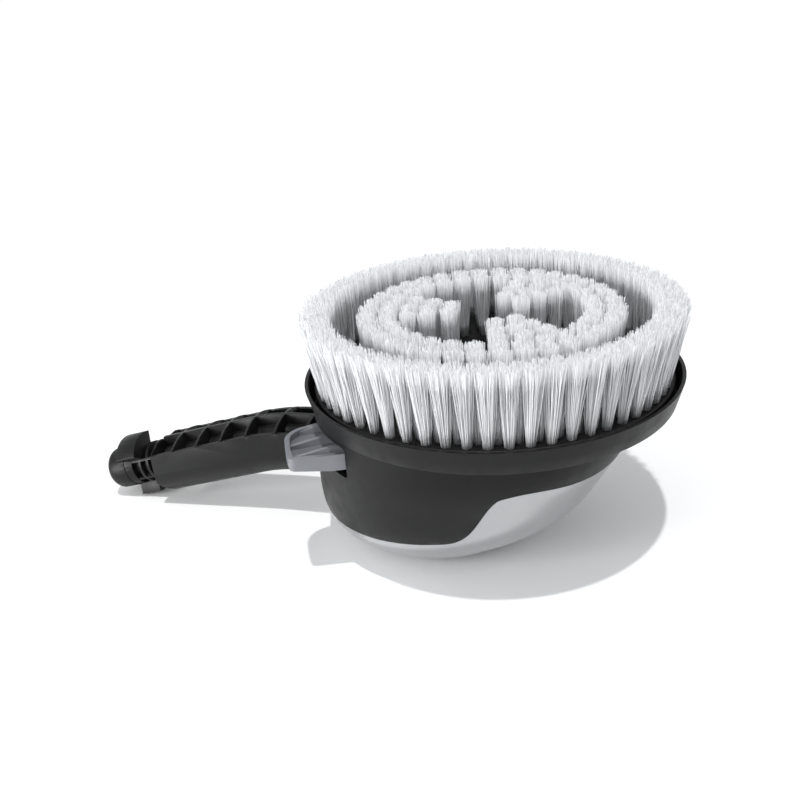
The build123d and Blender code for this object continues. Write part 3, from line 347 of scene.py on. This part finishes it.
def ring_of(points, level):
    """Centre and radius of the points of a tuft at its lowest or highest level."""
    z = points[:, 2].min() if level == "low" else points[:, 2].max()
    ring = points[np.abs(points[:, 2] - z) < SAME_LEVEL]
    centre = (ring.min(axis=0) + ring.max(axis=0)) / 2
    radius = np.linalg.norm(ring - centre, axis=1).max()
    return centre, radius


def sunflower(count):
    """Evenly scattered points in a unit disc."""
    n = np.arange(count) + 0.5
    r = np.sqrt(n / count)
    a = n * GOLDEN_ANGLE
    return np.stack([r * np.cos(a), r * np.sin(a)], axis=1)


def filaments_of(points, plate_top, ragged, flare, jitter):
    """Centre lines of a tuft's filaments: (filament, step, xyz), with a tone for each."""
    foot, foot_r = ring_of(points, "low")
    tip, tip_r = ring_of(points, "high")
    disc = sunflower(FILAMENTS)
    turn = RNG.uniform(0, 2 * math.pi)
    spin = np.array([[math.cos(turn), -math.sin(turn)], [math.sin(turn), math.cos(turn)]])
    disc = disc @ spin.T + RNG.normal(0, SCATTER, (FILAMENTS, 2))
    ends = disc * (tip_r * flare) + RNG.normal(0, tip_r * jitter, (FILAMENTS, 2))
    starts = disc * (foot_r * ROOT_FILL)
    s = np.linspace(0.0, 1.0, STEPS + 1)
    base_z = plate_top - ROOT_DEPTH
    top_z = tip[2] - np.abs(RNG.normal(0, ragged, FILAMENTS)) - LEAST_WEAR * ragged
    top_z -= TIP_DOME * (disc**2).sum(axis=1)
    lean = s**LEAN_POWER
    fan = np.clip((s - FAN_START) / (1 - FAN_START), 0, 1) ** FAN_POWER
    bow = np.sin(s * math.pi)
    wander = RNG.normal(0, WANDER, (FILAMENTS, 2))
    lines = np.zeros((FILAMENTS, STEPS + 1, 3))
    for k in range(STEPS + 1):
        middle = foot[:2] + (tip[:2] - foot[:2]) * lean[k]
        lines[:, k, :2] = middle + starts * (1 - fan[k]) + ends * fan[k] + wander * bow[k]
        lines[:, k, 2] = base_z + (top_z - base_z) * s[k]
    tone = np.clip(RNG.normal(TONE_MEAN, TONE_SPREAD, FILAMENTS), 0.0, 1.0)
    return lines, tone


def rod_faces(rings):
    """Triangles of one rod closed at both ends, over vertices counted ring by ring from the root."""
    faces = []
    for k in range(rings - 1):
        low = SIDES * k
        high = low + SIDES
        for side in range(SIDES):
            other = (side + 1) % SIDES
            faces.append([low + side, low + other, high + other])
            faces.append([low + side, high + other, high + side])
    tip = SIDES * (rings - 1)
    faces.append([tip, tip + 1, tip + 2])
    faces.append([2, 1, 0])
    return np.array(faces)


def filament_mesh(name, lines, tones):
    """Three-sided tapered rods along the lines, closed at both ends."""
    count, rings = lines.shape[:2]
    turn = RNG.uniform(0, 2 * math.pi, count)
    width = FILAMENT_R * np.linspace(1.0, TIP_TAPER, rings)
    verts = np.zeros((count, rings, SIDES, 3))
    for side in range(SIDES):
        a = turn + side * 2 * math.pi / SIDES
        offset = np.stack([np.cos(a), np.sin(a), np.zeros(count)], axis=1)
        verts[:, :, side, :] = lines + offset[:, None, :] * width[None, :, None]
    first_verts = np.arange(count) * rings * SIDES
    faces = (rod_faces(rings)[None] + first_verts[:, None, None]).reshape(-1, 3)
    mesh = bpy.data.meshes.new(name)
    mesh.vertices.add(verts.size // 3)
    mesh.vertices.foreach_set("co", verts.reshape(-1).astype(np.float32))
    mesh.loops.add(faces.size)
    mesh.loops.foreach_set("vertex_index", faces.reshape(-1).astype(np.int32))
    mesh.polygons.add(len(faces))
    mesh.polygons.foreach_set("loop_start", np.arange(0, faces.size, 3, dtype=np.int32))
    mesh.update(calc_edges=True)
    tone = mesh.attributes.new("tone", "FLOAT", "POINT")
    tone.data.foreach_set("value", np.repeat(tones, rings * SIDES).astype(np.float32))
    mesh.materials.append(BRISTLE)
    mesh.shade_smooth()
    return mesh


def build_bristles():
    """Replaces each row of plain cones with filaments."""
    plate_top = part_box("brush_plate")[1][2]
    for node, row in ROWS.items():
        lines = []
        tones = []
        for points in islands(frame["nodes"][node].data):
            line, tone = filaments_of(points, plate_top, **row)
            lines.append(line)
            tones.append(tone)
        mesh = filament_mesh(node + "_filaments", np.concatenate(lines), np.concatenate(tones))
        obj = add_object(node + "_filaments", mesh)
        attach(obj, "brush")
        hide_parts(node)


# ------------------------------------------------------------------ studio
FLOOR_HALF = 60.0  # half the floor's side
FLOOR_WHITE = 0.93

# Heights on the dome are the sine of the elevation.
SKY_COLOUR = (0.97, 0.985, 1.0, 1.0)
HORIZON_GLOW = 0.45  # added strength, down at the horizon
GLOW_FADES = 0.08  # height where the glow starts to fade
GLOW_GONE = 0.22  # height where it is gone
DOME_LOW = 0.58  # the dome's strength at the horizon
DOME_HIGH = 0.74  # and near its top
DOME_TOP = 0.9  # height where it is strongest

SUN_STRENGTH = 1.6
SUN_WIDTH = math.radians(1.6)
SUN_DIRECTION = Vector((-0.055, 0.27, -1.0))

SOFT_BOX_WATTS = 8.0
SOFT_BOX_WIDTH = 0.16
SOFT_BOX_HEIGHT = 0.6
SOFT_BOX_PLACE = (-0.7, -0.72, 0.22)
SOFT_BOX_TARGET = Vector((0.0, 0.0, 0.05))

SENSOR_MM = 36.0
LENS_MM = 40.706
CAMERA_PLACE = (0.08919, -0.43840, 0.28417)
CAMERA_TILT = math.radians(65.494)
CAMERA_ROLL = math.radians(4.0)
CAMERA_HEADING = math.radians(16.064)


def point_along(obj, direction):
    """Turns a lamp to shine along a direction."""
    obj.rotation_euler = direction.to_track_quat("-Z", "Y").to_euler()


def build_floor():
    """A wide white floor without gloss."""
    mesh = bpy.data.meshes.new("floor")
    work = bmesh.new()
    bmesh.ops.create_grid(work, x_segments=1, y_segments=1, size=FLOOR_HALF)
    work.to_mesh(mesh)
    work.free()
    floor = add_object("floor", mesh)
    mat, _, shader, _ = new_material("floor_white")
    shader.inputs["Base Color"].default_value = (*grey(FLOOR_WHITE), 1.0)
    shader.inputs["Roughness"].default_value = 0.9
    shader.inputs["Specular IOR Level"].default_value = 0.0
    mesh.materials.append(mat)


def build_dome():
    """A pale dome of light that grows stronger upwards, with a glow at the horizon."""
    world = bpy.data.worlds.new("studio")
    bpy.context.scene.world = world
    world.use_nodes = True
    tree = world.node_tree
    back = tree.nodes["Background"]
    place = tree.nodes.new("ShaderNodeTexCoord")
    split = tree.nodes.new("ShaderNodeSeparateXYZ")
    tree.links.new(place.outputs["Generated"], split.inputs["Vector"])
    height = split.outputs["Z"]
    glow = spread(tree, height, HORIZON_GLOW, 0.0, from_low=GLOW_FADES, from_high=GLOW_GONE)
    dome = spread(tree, height, DOME_LOW, DOME_HIGH, from_low=0.0, from_high=DOME_TOP)
    total = tree.nodes.new("ShaderNodeMath")
    tree.links.new(glow, total.inputs[0])
    tree.links.new(dome, total.inputs[1])
    tree.links.new(total.outputs["Value"], back.inputs["Strength"])
    back.inputs["Color"].default_value = SKY_COLOUR


def build_lamps():
    """A sun from above and a tall soft box at the front left."""
    sun = bpy.data.lights.new("key", "SUN")
    sun.energy = SUN_STRENGTH
    sun.angle = SUN_WIDTH
    key = add_object("key", sun)
    point_along(key, SUN_DIRECTION)

    side = bpy.data.lights.new("side_box", "AREA")
    side.energy = SOFT_BOX_WATTS
    side.shape = "RECTANGLE"
    side.size = SOFT_BOX_WIDTH
    side.size_y = SOFT_BOX_HEIGHT
    box = add_object("side_box", side)
    box.location = SOFT_BOX_PLACE
    point_along(box, SOFT_BOX_TARGET - box.location)


def build_camera():
    """The camera, above the front of the brush and a little towards its nose."""
    data = bpy.data.cameras.new("camera")
    data.sensor_width = SENSOR_MM
    data.lens = LENS_MM
    camera = add_object("camera", data)
    camera.location = CAMERA_PLACE
    camera.rotation_euler = Euler((CAMERA_TILT, CAMERA_ROLL, CAMERA_HEADING), "XYZ")
    bpy.context.scene.camera = camera


paint_nodes()
softened("housing_shell", "body", edge=0.0004)
softened("back_cover", "body", edge=0.0003)
softened("handle", "body", edge=0.0003)
softened("bayonet_connector", "body", edge=0.0004)
softened("release_lever", "lever", edge=0.0005)
build_spring()
build_bristles()
build_floor()
build_dome()
build_lamps()
build_camera()
scene = bpy.context.scene
scene.view_settings.view_transform = "Standard"
scene.view_settings.look = "None"
